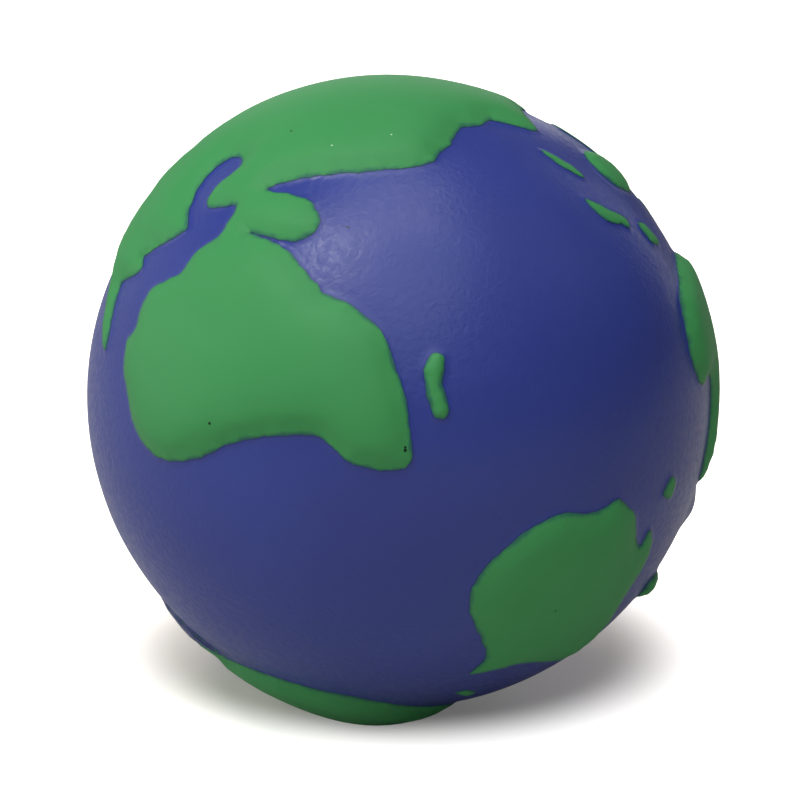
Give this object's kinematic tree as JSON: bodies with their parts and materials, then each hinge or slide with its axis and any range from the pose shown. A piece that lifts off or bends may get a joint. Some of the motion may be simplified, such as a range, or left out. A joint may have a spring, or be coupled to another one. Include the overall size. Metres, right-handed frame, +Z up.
{
  "type": "stress ball",
  "caption": "Squeezable foam ball made as a small globe, blue with raised green lands, standing on a small flat; one slide stands for the squeeze.",
  "frame": {"origin": "middle of the small flat that the ball stands on, straight below the ball's centre", "axes": "+Z up from the surface it stands on, -Y towards the side shown in the picture, +X to the right there; the globe's own poles are tilted"},
  "size_m": [0.0715, 0.0715, 0.0727],
  "materials": {
    "sea_paint": "satin blue flexible paint over the tough skin of moulded polyurethane foam",
    "land_paint": "matt green flexible paint sprayed over raised foam",
    "soft_foam": "bare cream polyurethane foam with open cells, hidden inside"
  },
  "bodies": {
    "lower_half": {"foam_core": "soft_foam", "skin_lower": "sea_paint", "madagascar": "land_paint", "australia": "land_paint", "new_zealand": "land_paint", "southern_island": "land_paint", "pacific_island": "land_paint", "antarctica": "land_paint", "scotia_island": "land_paint", "south_america": "land_paint", "north_america": "land_paint", "baffin_island": "land_paint", "cuba": "land_paint"},
    "upper_half": {"skin_upper": "sea_paint", "africa_and_eurasia": "land_paint", "sumatra": "land_paint", "java": "land_paint", "borneo": "land_paint", "sulawesi": "land_paint", "new_guinea": "land_paint", "philippines": "land_paint", "japan": "land_paint", "iceland": "land_paint", "greenland": "land_paint"}
  },
  "joints": [
    {"name": "squeeze", "type": "slide", "parent": "lower_half", "child": "upper_half", "axis": [0, 0, -1], "range_m": [0, 0.025], "stiffness_N_per_m": 2500, "deforming": ["foam_core", "skin_lower", "madagascar", "australia", "new_zealand", "southern_island", "pacific_island", "antarctica", "scotia_island", "south_america", "north_america", "baffin_island", "cuba", "skin_upper", "africa_and_eurasia", "sumatra", "java", "borneo", "sulawesi", "new_guinea", "philippines", "japan", "iceland", "greenland"]}
  ]
}
